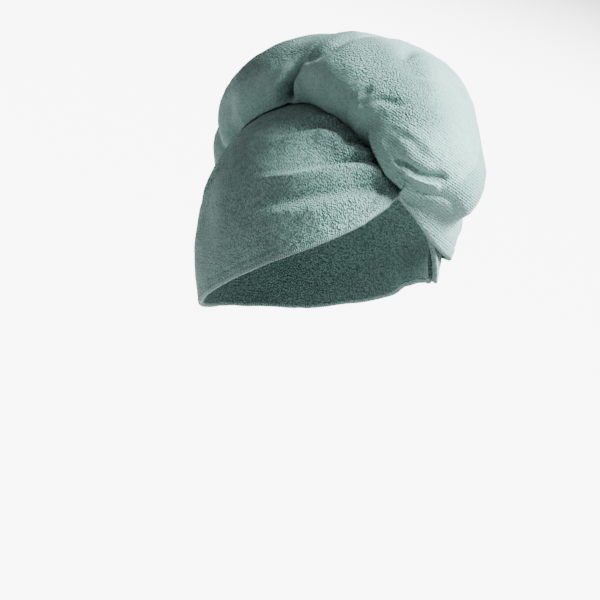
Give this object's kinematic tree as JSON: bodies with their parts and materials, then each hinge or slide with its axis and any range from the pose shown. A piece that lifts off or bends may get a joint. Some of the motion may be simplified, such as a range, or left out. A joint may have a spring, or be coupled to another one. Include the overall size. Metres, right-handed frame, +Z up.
{
  "type": "hair wrap",
  "caption": "Towelling hair wrap as worn: a close hood, a left panel swept up over the temple and a wound twist that runs over the crown to a button at the nape.",
  "frame": {"origin": "the inside of the hood at the top of the head, where the wrap sits on the head", "axes": "+X to the wearer's left, -Y out of the face opening, +Z up out of the crown"},
  "size_m": [0.1892, 0.2576, 0.2652],
  "materials": {
    "towelling": "short looped pile with fine ribs",
    "button": "satin"
  },
  "bodies": {
    "root": {"hood": "towelling", "left_panel": "towelling", "twist_tail": "towelling", "nape_button": "button"}
  },
  "joints": []
}
